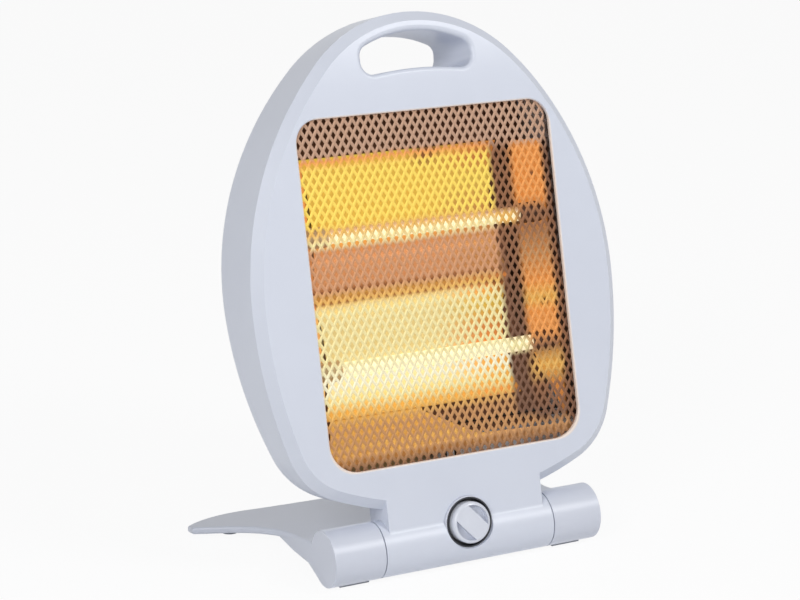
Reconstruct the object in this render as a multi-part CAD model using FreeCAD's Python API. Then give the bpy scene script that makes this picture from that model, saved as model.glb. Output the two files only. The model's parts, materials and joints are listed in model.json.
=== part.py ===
import FreeCAD, Part
import math
import os
from FreeCAD import Placement, Rotation, Vector

# Quartz heater on a barrel-hinged foot. Millimetres.
# The foot is drawn from the hinge axis: X along the hinge, Y to the back, Z up. The housing is drawn upright, with
# the hinge axis hub_out in front of its Y = 0. At the end it is set on the axis and leaned back about it, and
# everything is then moved so that the foot stands on Z = 0.

# Hinge barrel and foot
barrel_r = 19.0
barrel_len = 199.0
hub_len = 125.0
hub_out = 4.0
seam_gap = 0.8
barrel_wall = 2.5
hinge_wall = 4.0
end_cap_t = 3.0
end_cap_edge = 0.4
cap_plug_len = 4.0
cap_fit = 0.1
lean_deg = 13.7
plate_rise = 8.0
plate_t = 5.0
plate_edge_r = 1.6
plate_side_inset = 0.2
flare_start_y = 49.0
flare_r = 64.0
flare_deg = 55.0
lobe_out = 4.5
lobe_r = 60.0
lobe_back_y = 139.6
rear_hollow = 6.6
tip_r = 3.0
hub_clearance = 2.5
side_web_t = 3.0
side_web_drop = 11.2
side_web_front_y = 9.0
side_web_back_y = 86.0
side_web_knee_y = 24.7
pad_h = 0.6
pad_half_w = 5.0
pad_inset = 6.0
pad_bite = 1.2
rear_pad_r = 6.0
rear_pad_out = 12.0
rear_pad_inset = 20.0

# Hinge bolts
bolt_r = 4.0
bolt_head_r = 7.0
bolt_head_h = 4.0
bolt_fit = 0.05
washer_r = 8.0
washer_t = 1.0
washer_gap = 0.3
nut_r = 6.5
nut_t = 5.0
bolt_end = 2.0

# Egg-shaped outline of the housing, seen from the front
top_z = 348.5
half_w = 133.5
waist_share = 0.4706
crown_share = 0.7416
lower_side_share = 2.397
lower_corner_share = 0.36
belly_share = 1.73
belly_lift = 0.4

# Side profile of the housing
bend_drop = 56.5
bend_r = 260.0
back_y = 48.0
back_bow_r = 600.0
back_bow_drop = 123.5
parting_y = 14.0
shell_wall = 2.5
front_bevel = 6.5
back_edge_r = 12.0
neck_back_y = 8.5
neck_top_z = 46.0
neck_inset = 5.0
crease_r = 6.0
overrun = 12.0

# Handle slot
handle_bar = 13.0
slot_half = 40.5
slot_sill_drop = 37.5
slot_sill_r = 216.0
slot_corner_r = 8.5
slot_mouth_r = 3.0

# Window and grille
window_side = 40.7
window_z0 = 54.5
window_drop = 65.1
window_r_top = 15.0
window_r_low = 20.0
window_edge_r = 1.2
grille_t = 0.8
grille_margin = 4.0
grille_border = 3.0
cell_w = 13.9
cell_h = 21.0
strand_w = 2.4
clip_len = 12.0
clip_w = 8.0
clip_t = 1.2
clip_bite = 3.0
clip_gap = 0.4

# Quartz tubes, reflector and end plates
tube_r = 5.0
tube_wall = 1.0
tube_end_gap = 8.8
tube_y = 1.0
tube_drop = 75.9
tube_lift = 65.2
coil_r = 2.7
coil_wire_r = 0.4
coil_turns = 40
sheet_t = 0.8
reflector_side_gap = 30.8
trough_front_y = 3.0
trough_depth = 17.0
reflector_drop = 25.4
ridge_drop = 4.0
ridge_h = 4.0
trough_lift = 33.5
tray_drop = 29.0
tray_reach = 15.8
tray_side_gap = 3.5
tray_notch_x = -14.0
tray_notch_share = 0.1
tray_strip_x = 20.0
tray_strip_share = 0.77
tray_corner_share = 0.88
end_back_inset = 20.8
end_front_out = 2.2
end_front_y = -13.0
end_lift = 11.5
end_cut_slope = 2.8
end_cut_front_z = 47.0
end_drop = 26.4
end_flange = 11.0
end_rear_flange = 12.0
shield_gap = 0.4
shield_inset = 0.8
shield_lift = 8.5
shield_notch_half = 14.0
shield_notch_lift = 23.5
shield_over = 2.6
post_r = 1.5
post_inset = 17.0
cap_r = 7.0
cap_len = 18.0
cap_seat = 12.0
cap_hole_gap = 0.3
cap_edge_r = 1.0
stud_r = 1.5
stud_len = 14.0
stud_inside = 3.5
stud_collar_r = 3.0
stud_collar_t = 1.5
stud_fit = 0.05
tube_fit = 0.1

# Knob, bezel and rotary switch
knob_z = 9.7
knob_r = 13.9
knob_front = 7.0
knob_back = 5.4
knob_edge_r = 2.5
grip_w = 13.0
grip_depth = 4.5
grip_rim = 2.2
grip_deg = -48.0
bezel_r = 17.4
bezel_fit = 0.1
bezel_wall = 1.6
bezel_proud = 2.2
bezel_depth = 8.0
bezel_floor_t = 2.0
bezel_edge_r = 0.6
bezel_shaft_gap = 0.6
shaft_r = 3.0
shaft_fit = 0.05
shaft_bite = 9.0
switch_w = 25.0
switch_h = 21.0
switch_d = 16.0
lug_w = 4.0
lug_h = 6.0
lug_t = 0.8

# Tip-over switch
tip_x = -25.0
tip_pivot_z = 41.0
tip_pivot_y = -1.0
cheek_gap = 10.0
cheek_t = 1.5
cheek_half_h = 8.0
tip_pin_r = 1.2
pin_fit = 0.05
pendulum_len = 12.0
pendulum_t = 4.0
pendulum_hub_r = 3.0
bob_r = 4.2
bob_len = 7.0
micro_w = 6.0
micro_h = 12.0
micro_d = 14.0

# Thermal cut-out, terminal block, gland and wires
cutout_r = 8.0
cutout_h = 6.0
cutout_edge_r = 0.8
cutout_tab_x = 4.0
cutout_drop = 22.0
block_w = 30.0
block_h = 14.0
block_d = 9.0
block_drop = 1.7
gland_z = 64.0
gland_r = 6.0
gland_bore_r = 3.6
gland_flange_r = 8.5
gland_flange_t = 2.0
gland_pad = 3.0
gland_fit = 0.1
gland_edge_r = 1.0
wire_r = 1.2
wire_bend_r = 3.0
wire_lift = 15.3
wire_spread = 3.6

# Fasteners
boss_r = 5.0
well_r = 4.2
well_wall = 2.0
screw_seat = 4.0
screw_r = 1.5
screw_len = 16.0
screw_head_r = 3.6
screw_head_h = 2.4
head_round_share = 0.6
hole_gap = 0.15
boss_inset = 14.0
low_boss_lift = 3.5
mid_boss_lift = 1.0
high_boss_drop = 11.0
small_screw_r = 1.2
small_head_r = 2.6
small_head_h = 1.8
small_boss_r = 3.2
end_screw_offset = 8.5
low_end_screw_lift = 35.0
vent_half_len = 17.0
vent_half_w = 2.0
vent_pitch_x = 46.0
vent_columns = 3
vent_rows = 4
vent_row_pitch = 10.0
vent_drop = 5.4
vent_lift = 29.5

along_x = Vector(1, 0, 0)
along_y = Vector(0, 1, 0)
along_z = Vector(0, 0, 1)
barrel_half = barrel_len / 2
hub_half = hub_len / 2
neck_half = hub_half - neck_inset
foot_inner_x = hub_half + seam_gap
face_y = -barrel_r
inner_face_y = face_y + shell_wall
belly_z = barrel_r + belly_lift
floor_z = -barrel_r - pad_h

# Sizes that follow the outline: heights from the top and the window, widths from the half width.
waist_z = top_z * waist_share
crown_r = half_w * crown_share
lower_side_r = half_w * lower_side_share
lower_corner_r = half_w * lower_corner_share
belly_r = half_w * belly_share
bend_z = top_z - bend_drop
back_bow_z = top_z - back_bow_drop
slot_sill_z = top_z - slot_sill_drop
window_half = half_w - window_side
window_z1 = top_z - window_drop
tube_half = window_half - tube_end_gap
coil_half = tube_half - cap_seat
tube_z_up = window_z1 - tube_drop
tube_z_low = window_z0 + tube_lift
reflector_half = window_half - reflector_side_gap
reflector_top_z = window_z1 - reflector_drop
trough_low_z = window_z0 + trough_lift
ridge_z = (reflector_top_z + trough_low_z) / 2 - ridge_drop
end_back_x = window_half - end_back_inset
end_front_x = window_half + end_front_out
end_low_z = window_z0 + end_lift
end_top_z = window_z1 - end_drop
shield_half = window_half - shield_inset
shield_z0 = window_z0 + shield_lift
shield_z1 = window_z1 + shield_over
post_x = reflector_half - post_inset
cutout_z = reflector_top_z - cutout_drop
block_z = tube_z_low - block_drop
boss_heights = [window_z0 + low_boss_lift, waist_z + mid_boss_lift, slot_sill_z - high_boss_drop]
end_screw_heights = [tube_z_low + low_end_screw_lift, tube_z_up + end_screw_offset]
vent_heights = []
for row in range(vent_rows):
    vent_heights.append(window_z1 - vent_drop - row * vent_row_pitch)
    vent_heights.append(window_z0 + vent_lift + row * vent_row_pitch)


def block(x0, x1, y0, y1, z0, z1):
    return Part.makeBox(x1 - x0, y1 - y0, z1 - z0, Vector(x0, y0, z0))


def rod(x, y, z, radius, length, axis):
    return Part.makeCylinder(radius, length, Vector(x, y, z), axis)


def mirrored(shape):
    return shape.mirror(Vector(0, 0, 0), along_x)


def both_sides(shape):
    return [shape, mirrored(shape)]


def fused(shapes):
    return shapes[0].multiFuse(shapes[1:]).removeSplitter()


def prism(points, direction):
    return Part.Face(Part.makePolygon(points + [points[0]])).extrude(direction)


def toward(start, target, distance):
    return start + (target - start) * (distance / (target - start).Length)


def arc_between(centre, start, end):
    middle = toward(centre, (start + end) * 0.5, (start - centre).Length)
    return Part.Arc(start, middle, end).toShape()


def rounded(shape, radius, wanted):
    return shape.makeFillet(radius, [e for e in shape.Edges if wanted(e.BoundBox)])


# Housing outline: crown, upper sides, lower sides, lower corners and belly are tangent arcs.
crown_c = Vector(0, 0, top_z - crown_r)
crown_to_waist = crown_c.z - waist_z
upper_side_r = (half_w**2 + crown_to_waist**2 - crown_r**2) / (2 * (half_w - crown_r))
upper_side_c = Vector(half_w - upper_side_r, 0, waist_z)
lower_side_c = Vector(half_w - lower_side_r, 0, waist_z)
belly_c = Vector(0, 0, belly_z + belly_r)


def corner_centre():
    reach_side = lower_side_r - lower_corner_r
    reach_belly = belly_r - lower_corner_r
    between = belly_c - lower_side_c
    along = (reach_side**2 - reach_belly**2 + between.Length**2) / (2 * between.Length)
    across = math.sqrt(reach_side**2 - along**2)
    sideways = Vector(between.z, 0, -between.x)
    return lower_side_c + between * (along / between.Length) + sideways * (across / between.Length)


corner_c = corner_centre()


def egg_wire(inset):
    shoulder = toward(upper_side_c, crown_c, upper_side_r - inset)
    waist = Vector(half_w - inset, 0, waist_z)
    hip = toward(lower_side_c, corner_c, lower_side_r - inset)
    heel = toward(belly_c, corner_c, belly_r - inset)
    flip = Rotation(along_z, 180)
    left = [flip.multVec(p) for p in (shoulder, waist, hip, heel)]
    centres = [upper_side_c, lower_side_c, corner_c]
    right_points = [shoulder, waist, hip, heel]
    edges = [arc_between(crown_c, left[0], shoulder)]
    for centre, start, end in zip(centres, right_points, right_points[1:]):
        edges.append(arc_between(centre, start, end))
    edges.append(arc_between(belly_c, heel, left[3]))
    for centre, start, end in zip(centres[::-1], left[:0:-1], left[-2::-1]):
        edges.append(arc_between(flip.multVec(centre), start, end))
    return Part.Wire(edges)


def egg_half_width(z):
    if z >= waist_z:
        return upper_side_c.x + math.sqrt(upper_side_r**2 - (z - waist_z) ** 2)
    hip = toward(lower_side_c, corner_c, lower_side_r)
    if z >= hip.z:
        return lower_side_c.x + math.sqrt(lower_side_r**2 - (z - waist_z) ** 2)
    return corner_c.x + math.sqrt(lower_corner_r**2 - (z - corner_c.z) ** 2)


def back_surface_y(z, inset=0.0):
    return back_y - back_bow_r + math.sqrt((back_bow_r - inset) ** 2 - (z - back_bow_z) ** 2)


def side_profile(inset):
    low_z = belly_z - overrun
    high_z = top_z + overrun
    bend_c = Vector(0, face_y + bend_r, bend_z)
    bend_turn = math.asin((high_z - bend_z) / (bend_r - inset))
    foot_front = Vector(0, face_y + inset, low_z)
    bend_start = Vector(0, face_y + inset, bend_z)
    bend_end = Vector(0, bend_c.y - (bend_r - inset) * math.cos(bend_turn), high_z)
    back_high = Vector(0, back_surface_y(high_z, inset), high_z)
    back_low = Vector(0, back_surface_y(low_z, inset), low_z)
    bow_c = Vector(0, back_y - back_bow_r, back_bow_z)
    edges = [
        Part.LineSegment(foot_front, bend_start).toShape(),
        arc_between(bend_c, bend_start, bend_end),
        Part.LineSegment(bend_end, back_high).toShape(),
        arc_between(bow_c, back_high, back_low),
        Part.LineSegment(back_low, foot_front).toShape(),
    ]
    face = Part.Face(Part.Wire(edges))
    reach = half_w + overrun
    face.translate(Vector(-reach, 0, 0))
    return face.extrude(Vector(2 * reach, 0, 0))


def housing_form(inset):
    depth = back_y - face_y + 2 * overrun
    egg = Part.Face(egg_wire(inset)).extrude(Vector(0, depth, 0))
    egg.translate(Vector(0, face_y - overrun, 0))
    form = egg.common(side_profile(inset)).Solids[0]
    form = form.makeChamfer(front_bevel - inset, [e for e in form.Edges if e.BoundBox.YMax < 0])
    return rounded(form, back_edge_r - inset, lambda b: b.YMin > 0)


def slot_prism(grow):
    half = slot_half + grow
    top_r = crown_r - handle_bar + grow
    sill_r = slot_sill_r - grow
    sill_c = Vector(0, 0, slot_sill_z - slot_sill_r)
    top_right = Vector(half, 0, crown_c.z + math.sqrt(top_r**2 - half**2))
    sill_right = Vector(half, 0, sill_c.z + math.sqrt(sill_r**2 - half**2))
    flip = Rotation(along_z, 180)
    top_left = flip.multVec(top_right)
    sill_left = flip.multVec(sill_right)
    edges = [
        arc_between(crown_c, top_left, top_right),
        Part.LineSegment(top_right, sill_right).toShape(),
        arc_between(sill_c, sill_right, sill_left),
        Part.LineSegment(sill_left, top_left).toShape(),
    ]
    depth = back_y - face_y + 2 * overrun
    body = Part.Face(Part.Wire(edges)).extrude(Vector(0, depth, 0))
    body.translate(Vector(0, face_y - overrun, 0))
    return rounded(body, slot_corner_r + grow, lambda b: b.YLength > depth / 2)


def window_wire(grow, y):
    half = window_half + grow
    low = window_z0 - grow
    high = window_z1 + grow
    r_low = window_r_low + grow
    r_top = window_r_top + grow
    corners = [(half, low, r_low, -45), (half, high, r_top, 45), (-half, high, r_top, 135), (-half, low, r_low, 225)]
    arcs = []
    for x, z, r, mid_deg in corners:
        centre = Vector(x - math.copysign(r, x), y, z + (r if z == low else -r))
        spots = [mid_deg - 45, mid_deg, mid_deg + 45]
        on_arc = [Vector(math.cos(math.radians(a)), 0, math.sin(math.radians(a))) * r + centre for a in spots]
        arcs.append(Part.Arc(*on_arc).toShape())
    edges = []
    for here, following in zip(arcs, arcs[1:] + arcs[:1]):
        edges += [here, Part.LineSegment(here.Vertexes[-1].Point, following.Vertexes[0].Point).toShape()]
    return Part.Wire(edges)


def screw(x, y, z, radius, length, head_r, head_h):
    # Pan-head screw driven towards -Y, its head resting at y.
    shank = rod(x, y - length, z, radius, length, along_y)
    head = rod(x, y, z, head_r, head_h, along_y)
    head = rounded(head, head_h * head_round_share, lambda b: b.YMin > y + head_h / 2)
    return fused([shank, head])


housing_outer = housing_form(0)
slot = slot_prism(0)
slot_sleeve = slot_prism(shell_wall)
slot_box = slot.BoundBox
housing_outer = rounded(
    housing_outer.cut(slot),
    slot_mouth_r,
    lambda b: (b.YMax < 0 or b.YMin > 0)
    and b.XLength <= slot_box.XLength + 1
    and b.ZMin > slot_box.ZMin - 1
    and b.ZMax < slot_box.ZMax + 1,
)
cavity = housing_form(shell_wall).cut(slot_sleeve)
reach = half_w + overrun
front_zone = block(-reach, reach, face_y - overrun, parting_y, -overrun, top_z + overrun)
rear_zone = block(-reach, reach, parting_y, back_y + overrun, -overrun, top_z + overrun)
boss_spots = [(side * (egg_half_width(z) - boss_inset), z) for z in boss_heights for side in (-1, 1)]
end_screw_spots = [(side * (end_front_x + end_flange / 2), z) for z in end_screw_heights for side in (-1, 1)]
clip_spots = [(side * window_half / 2, z) for z in (window_z0, window_z1) for side in (-1, 1)]
knob_hole_r = bezel_r + bezel_fit


def neck_crease():
    # Filled corner where the neck's face runs into the barrel that stands out below it.
    ahead = barrel_r - hub_out + crease_r
    reach_r = barrel_r + crease_r
    high_z = math.sqrt(reach_r**2 - ahead**2)
    low_z = high_z * barrel_r / reach_r
    low_y = -hub_out - ahead * barrel_r / reach_r
    points = [
        Vector(-neck_half, face_y, high_z),
        Vector(-neck_half, low_y, low_z),
        Vector(-neck_half, inner_face_y, low_z),
        Vector(-neck_half, inner_face_y, high_z),
    ]
    filled = prism(points, Vector(2 * neck_half, 0, 0))
    return filled.cut(rod(-neck_half, face_y - crease_r, high_z, crease_r, 2 * neck_half, along_x))


def front_shell():
    neck = block(-neck_half, neck_half, face_y, neck_back_y, 0, neck_top_z)
    hub = rod(-hub_half, -hub_out, 0, barrel_r, hub_len, along_x)
    shell = fused([housing_outer.common(front_zone), neck, hub, neck_crease()])
    inner_half = hub_half - hinge_wall
    room_half = neck_half - hinge_wall
    neck_room = block(-room_half, room_half, inner_face_y, neck_back_y - shell_wall, 0, neck_top_z + overrun)
    hub_room = rod(-inner_half, -hub_out, 0, barrel_r - barrel_wall, 2 * inner_half, along_x)
    wall_y = face_y + shell_wall / 2
    bosses = [rod(x, wall_y, z, boss_r, parting_y - wall_y, along_y) for x, z in boss_spots]
    bosses += [rod(x, wall_y, z, small_boss_r, end_front_y - wall_y, along_y) for x, z in end_screw_spots]
    bosses += [clip_boss(x, z) for x, z in clip_spots]
    hollow = cavity.cut(Part.makeCompound(bosses))
    shell = shell.cut(hollow).cut(neck_room).cut(hub_room)
    opening = Part.Face(window_wire(0, face_y - overrun)).extrude(Vector(0, 2 * overrun, 0))
    shell = shell.cut(opening)
    shell = rounded(shell, window_edge_r, lambda b: b.YMax < face_y + 0.01 and inside_window(b))
    shell = shell.cut(rod(0, face_y - overrun, knob_z, knob_hole_r, overrun - face_y - bezel_depth, along_y))
    shell = shell.cut(rod(-hub_half, -hub_out, 0, bolt_r + bolt_fit, hub_len, along_x))
    holes = [rod(x, parting_y - screw_len, z, screw_r + hole_gap, screw_len, along_y) for x, z in boss_spots]
    pilot = end_front_y - inner_face_y + shell_wall / 2
    holes += [
        rod(x, end_front_y - pilot, z, small_screw_r + hole_gap, pilot, along_y) for x, z in end_screw_spots
    ]
    holes += [clip_pilot(x, z) for x, z in clip_spots]
    return shell.cut(Part.makeCompound(holes))


def inside_window(b):
    wide = b.XMax <= window_half + 0.01 and b.XMin >= -window_half - 0.01
    return wide and b.ZMin >= window_z0 - 0.01 and b.ZMax <= window_z1 + 0.01


def clip_outward(z):
    return 1 if z > waist_z else -1


def clip_screw_z(z):
    return z + clip_outward(z) * (grille_margin + clip_gap + clip_len / 2 - clip_bite / 2)


def clip_boss(x, z):
    # Low pad as thick as the grille, so that a clip lies flat on both.
    start = z + clip_outward(z) * (grille_margin + clip_gap)
    end = z + clip_outward(z) * (grille_margin - clip_bite + clip_len)
    top = inner_face_y + grille_t
    low = face_y + shell_wall / 2
    return block(x - clip_w / 2, x + clip_w / 2, low, top, min(start, end), max(start, end))


def clip_pilot(x, z):
    depth = grille_t + shell_wall / 2
    return rod(x, inner_face_y + grille_t - depth, clip_screw_z(z), small_screw_r + hole_gap, depth, along_y)


def rear_shell():
    well_len = back_y + overrun - parting_y
    wells = [rod(x, parting_y, z, well_r + well_wall, well_len, along_y) for x, z in boss_spots]
    shell = housing_outer.common(rear_zone).cut(cavity.cut(Part.makeCompound(wells)))
    pad_y = back_surface_y(gland_z)
    gland_seat = rod(0, parting_y, gland_z, gland_flange_r + well_wall, pad_y + gland_pad - parting_y, along_y)
    gland_room = rod(0, parting_y, gland_z, gland_flange_r, pad_y - shell_wall - parting_y, along_y)
    shell = fused([shell, gland_seat]).cut(gland_room)
    holes = []
    for x, z in boss_spots:
        holes.append(rod(x, parting_y + screw_seat, z, well_r, well_len, along_y))
        holes.append(rod(x, parting_y, z, screw_r + hole_gap, screw_seat, along_y))
    holes.append(rod(0, parting_y, gland_z, gland_r + gland_fit, back_y, along_y))
    for z in vent_heights:
        for column in range(vent_columns):
            holes.append(vent((column - (vent_columns - 1) / 2) * vent_pitch_x, z))
    return shell.cut(Part.makeCompound(holes))


def vent(x, z):
    start = back_surface_y(z, shell_wall) - shell_wall
    depth = 2 * shell_wall + back_edge_r
    middle = block(x - vent_half_len, x + vent_half_len, start, start + depth, z - vent_half_w, z + vent_half_w)
    ends = [rod(x + side * vent_half_len, start, z, vent_half_w, depth, along_y) for side in (-1, 1)]
    return fused([middle] + ends)


def grille():
    # Flat sheet with staggered upright lozenge gaps, one face with holes.
    outline = window_wire(grille_margin, inner_face_y)
    gap_w = (cell_w - strand_w) / 2
    gap_h = (cell_h - strand_w * cell_h / cell_w) / 2
    half_row = cell_h / 2
    rows = int((window_z1 - window_z0 - 2 * gap_h - 2 * grille_border) / half_row) + 1
    first_z = (window_z0 + window_z1) / 2 - (rows - 1) * half_row / 2
    columns = int((window_half - gap_w - grille_border) / cell_w)
    wires = [outline]
    for row in range(rows):
        z = first_z + row * half_row
        shift = 0.5 * (row % 2)
        for column in range(-columns, columns + 1 - row % 2):
            x = (column + shift) * cell_w
            corners = [Vector(x - gap_w, inner_face_y, z), Vector(x, inner_face_y, z - gap_h)]
            corners += [Vector(x + gap_w, inner_face_y, z), Vector(x, inner_face_y, z + gap_h)]
            if lozenge_in_window(x, z, gap_w, gap_h):
                wires.append(Part.makePolygon(corners + corners[:1]))
    print("grille gaps:", len(wires) - 1)
    return Part.Face(wires).extrude(Vector(0, grille_t, 0))


def lozenge_in_window(x, z, gap_w, gap_h):
    # The lozenge clears the rounded corners of the window.
    corner_r = window_r_low if z < waist_z else window_r_top
    edge_z = z - window_z0 if z < waist_z else window_z1 - z
    over_x = corner_r - (window_half - abs(x))
    over_z = corner_r - edge_z
    if over_x <= 0 or over_z <= 0:
        return True
    return math.hypot(over_x, over_z) + max(gap_w, gap_h) < corner_r


def grille_clips():
    clips = []
    low = inner_face_y + grille_t
    for x, z in clip_spots:
        start = z + clip_outward(z) * (grille_margin - clip_bite)
        end = start + clip_outward(z) * clip_len
        clip = block(x - clip_w / 2, x + clip_w / 2, low, low + clip_t, min(start, end), max(start, end))
        clips.append(clip.cut(rod(x, low, clip_screw_z(z), small_screw_r + hole_gap, clip_t, along_y)))
    return clips


def clip_screws():
    seat = inner_face_y + grille_t + clip_t
    length = clip_t + grille_t + shell_wall / 2
    return [
        screw(x, seat, clip_screw_z(z), small_screw_r, length, small_head_r, small_head_h) for x, z in clip_spots
    ]


# Reflector: two round troughs that meet at a ridge, with a tray that slopes to the front below.
trough_back_y = trough_front_y + trough_depth
shield_y = trough_back_y + sheet_t + shield_gap


def trough(z_low, z_high):
    half = (z_high - z_low) / 2
    radius = (half**2 + trough_depth**2) / (2 * trough_depth)
    centre_y = trough_back_y - radius
    middle = (z_high + z_low) / 2
    outer = rod(-window_half, centre_y, middle, radius + sheet_t, window_half + reflector_half, along_x)
    inner = rod(-window_half, centre_y, middle, radius, window_half + reflector_half, along_x)
    kept = block(
        -window_half, reflector_half, trough_front_y, trough_back_y + 2 * sheet_t, z_low - sheet_t, z_high + sheet_t
    )
    return outer.cut(inner).common(kept)


def beyond_left_plate():
    # Everything to the left of the left end plate's inner face.
    along = Vector(end_front_x - end_back_x, shield_y - sheet_t - end_front_y, 0)
    front = Vector(-end_front_x + shield_gap, end_front_y, 0)
    corners = [front - along, front + along * 2, Vector(-reach, along.y * 2, 0), Vector(-reach, -along.y * 2, 0)]
    return prism(corners, Vector(0, 0, top_z))


def tray_point(x, share):
    return Vector(x, trough_front_y + sheet_t - tray_reach * share, trough_low_z - tray_drop * share)


def tray():
    # Sheet that slopes from the lower trough to the foot of the window, cut away at the right.
    plate_slope = (end_front_x - end_back_x) / (shield_y - sheet_t - end_front_y)
    front_half = end_front_x - tray_side_gap
    rear_half = front_half - plate_slope * tray_reach
    outline = [
        tray_point(-rear_half, 0),
        tray_point(tray_notch_x, 0),
        tray_point(tray_notch_x, tray_notch_share),
        tray_point(tray_strip_x, tray_strip_share),
        tray_point(front_half, tray_corner_share),
        tray_point(front_half, 1),
        tray_point(-front_half, 1),
    ]
    return prism(outline, Vector(0, 0, -2 * sheet_t))


def reflector():
    upper = trough(ridge_z + ridge_h / 2, reflector_top_z)
    lower = trough(trough_low_z, ridge_z - ridge_h / 2)
    ridge = block(
        -window_half, reflector_half, trough_front_y, trough_front_y + sheet_t,
        ridge_z - ridge_h / 2 - sheet_t, ridge_z + ridge_h / 2 + sheet_t,
    )
    return fused([upper, lower, ridge]).cut(beyond_left_plate()).fuse(tray()).removeSplitter()


def heat_shield():
    sheet = block(-shield_half, shield_half, shield_y, shield_y + sheet_t, shield_z0, shield_z1)
    notch_top = window_z0 + shield_notch_lift
    sheet = sheet.cut(block(-shield_notch_half, shield_notch_half, shield_y, shield_y + sheet_t, shield_z0, notch_top))
    holes = [rod(x, shield_y - sheet_t, z, small_screw_r + hole_gap, 3 * sheet_t, along_y) for x, z in shield_spots]
    return sheet.cut(Part.makeCompound(holes))


shield_spots = [(side * (end_back_x + end_rear_flange / 2), z) for z in end_screw_heights for side in (-1, 1)]


def end_plate():
    # Right-hand flared sheet with a front flange, a rear flange and two holes for the tube ends, cut off aslant below.
    height = end_top_z - end_low_z
    rear_y = shield_y - sheet_t
    low = end_low_z
    panel = prism(
        [
            Vector(end_back_x, rear_y, low),
            Vector(end_front_x, end_front_y, low),
            Vector(end_front_x + sheet_t, end_front_y, low),
            Vector(end_back_x + sheet_t, rear_y, low),
        ],
        Vector(0, 0, height),
    )
    front = block(
        end_front_x, end_front_x + end_flange, end_front_y, end_front_y + sheet_t, low, end_top_z
    )
    rear = block(end_back_x, end_back_x + end_rear_flange, rear_y, shield_y, max(low, shield_z0), end_top_z)
    cut_low = Vector(end_back_x, end_front_y, end_cut_front_z)
    cut_high = Vector(end_back_x, rear_y + sheet_t, end_cut_front_z + end_cut_slope * (rear_y + sheet_t - end_front_y))
    cut_foot = Vector(end_back_x, rear_y + sheet_t, end_cut_front_z)
    slant = prism([cut_low, cut_high, cut_foot], Vector(end_front_x, 0, 0))
    plate = fused([panel, front, rear]).cut(slant)
    holes = [rod(0, tube_y, z, cap_r + cap_hole_gap, barrel_len, along_x) for z in (tube_z_up, tube_z_low)]
    screw_gap = small_screw_r + hole_gap
    for z in end_screw_heights:
        holes.append(rod(end_front_x + end_flange / 2, end_front_y, z, screw_gap, sheet_t, along_y))
        holes.append(rod(end_back_x + end_rear_flange / 2, rear_y, z, screw_gap, sheet_t, along_y))
    return plate.cut(Part.makeCompound(holes))


def end_plate_screws():
    seat = end_front_y + sheet_t
    length = seat - inner_face_y + shell_wall / 3
    return [screw(x, seat, z, small_screw_r, length, small_head_r, small_head_h) for x, z in end_screw_spots]


def shield_screws():
    seat = shield_y + sheet_t
    return [screw(x, seat, z, small_screw_r, 4 * sheet_t, small_head_r, small_head_h) for x, z in shield_spots]


def reflector_posts():
    start = trough_front_y + sheet_t
    return [rod(side * post_x, start, ridge_z, post_r, shield_y - start, along_y) for side in (-1, 1)]


def quartz_tube(z):
    glass = rod(-tube_half, tube_y, z, tube_r, 2 * tube_half, along_x)
    return glass.cut(rod(-tube_half, tube_y, z, tube_r - tube_wall, 2 * tube_half, along_x))


def coil_point(turn):
    angle = 2 * math.pi * turn
    pitch = 2 * coil_half / coil_turns
    return Vector(-coil_half + pitch * turn, coil_r * math.cos(angle), coil_r * math.sin(angle))


def coil_heading(turn):
    angle = 2 * math.pi * turn
    pitch = 2 * coil_half / coil_turns
    heading = Vector(pitch / (2 * math.pi), -coil_r * math.sin(angle), coil_r * math.cos(angle))
    return heading.normalize()


def arc_from(start, heading, end):
    # Circular arc that leaves start along heading and reaches end.
    chord = end - start
    bisector = (heading + chord * (1 / chord.Length)).normalize()
    half_turn = bisector.getAngle(chord)
    middle = start + bisector * (chord.Length / (2 * math.cos(half_turn)))
    return Part.Arc(start, middle, end).toShape()


def biarc(start, heading, end, end_heading):
    chord = end - start
    both = heading + end_heading
    bend = 2 * (1 - heading.dot(end_heading))
    handle = (math.sqrt(chord.dot(both) ** 2 + bend * chord.dot(chord)) - chord.dot(both)) / bend
    joint = (start + end + (heading - end_heading) * handle) * 0.5
    return [arc_from(start, heading, joint), reversed_arc(end, end_heading, joint)]


def reversed_arc(end, end_heading, joint):
    back = arc_from(end, end_heading * -1, joint)
    first, last = back.Vertexes[0].Point, back.Vertexes[-1].Point
    middle = back.valueAt((back.FirstParameter + back.LastParameter) / 2)
    return Part.Arc(last, middle, first).toShape()


def heating_coil(z):
    # One unbroken helix, each half turn a pair of arcs, with a straight lead at each end.
    half_turns = [i / 2 for i in range(2 * coil_turns + 1)]
    edges = []
    for here, following in zip(half_turns, half_turns[1:]):
        edges += biarc(coil_point(here), coil_heading(here), coil_point(following), coil_heading(following))
    path = Part.Wire(edges)
    section = Part.Wire(Part.makeCircle(coil_wire_r, coil_point(0), coil_heading(0)))
    coil = path.makePipeShell([section], True, False)
    coil.translate(Vector(0, tube_y, z))
    return coil


def report_coil_gap():
    pitch = 2 * coil_half / coil_turns
    fine = [coil_point(i / 48) for i in range(48 * 3)]
    apart = [(a - b).Length for i, a in enumerate(fine) for b in fine[i + 24:]]
    print("coil pitch", round(pitch, 2), "least gap to itself", round(min(apart) - 2 * coil_wire_r, 2))


cap_x0 = tube_half - cap_seat
cap_x1 = cap_x0 + cap_len


def ceramic_cap(z):
    # Right-hand cap: a socket for the tube and a through hole for the stud.
    cap = rod(cap_x0, tube_y, z, cap_r, cap_len, along_x)
    cap = rounded(cap, cap_edge_r, lambda b: b.XMin > cap_x1 - 0.01)
    cap = cap.cut(rod(cap_x0, tube_y, z, tube_r + tube_fit, cap_seat, along_x))
    return cap.cut(rod(cap_x0, tube_y, z, stud_r + stud_fit, cap_len, along_x))


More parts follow.
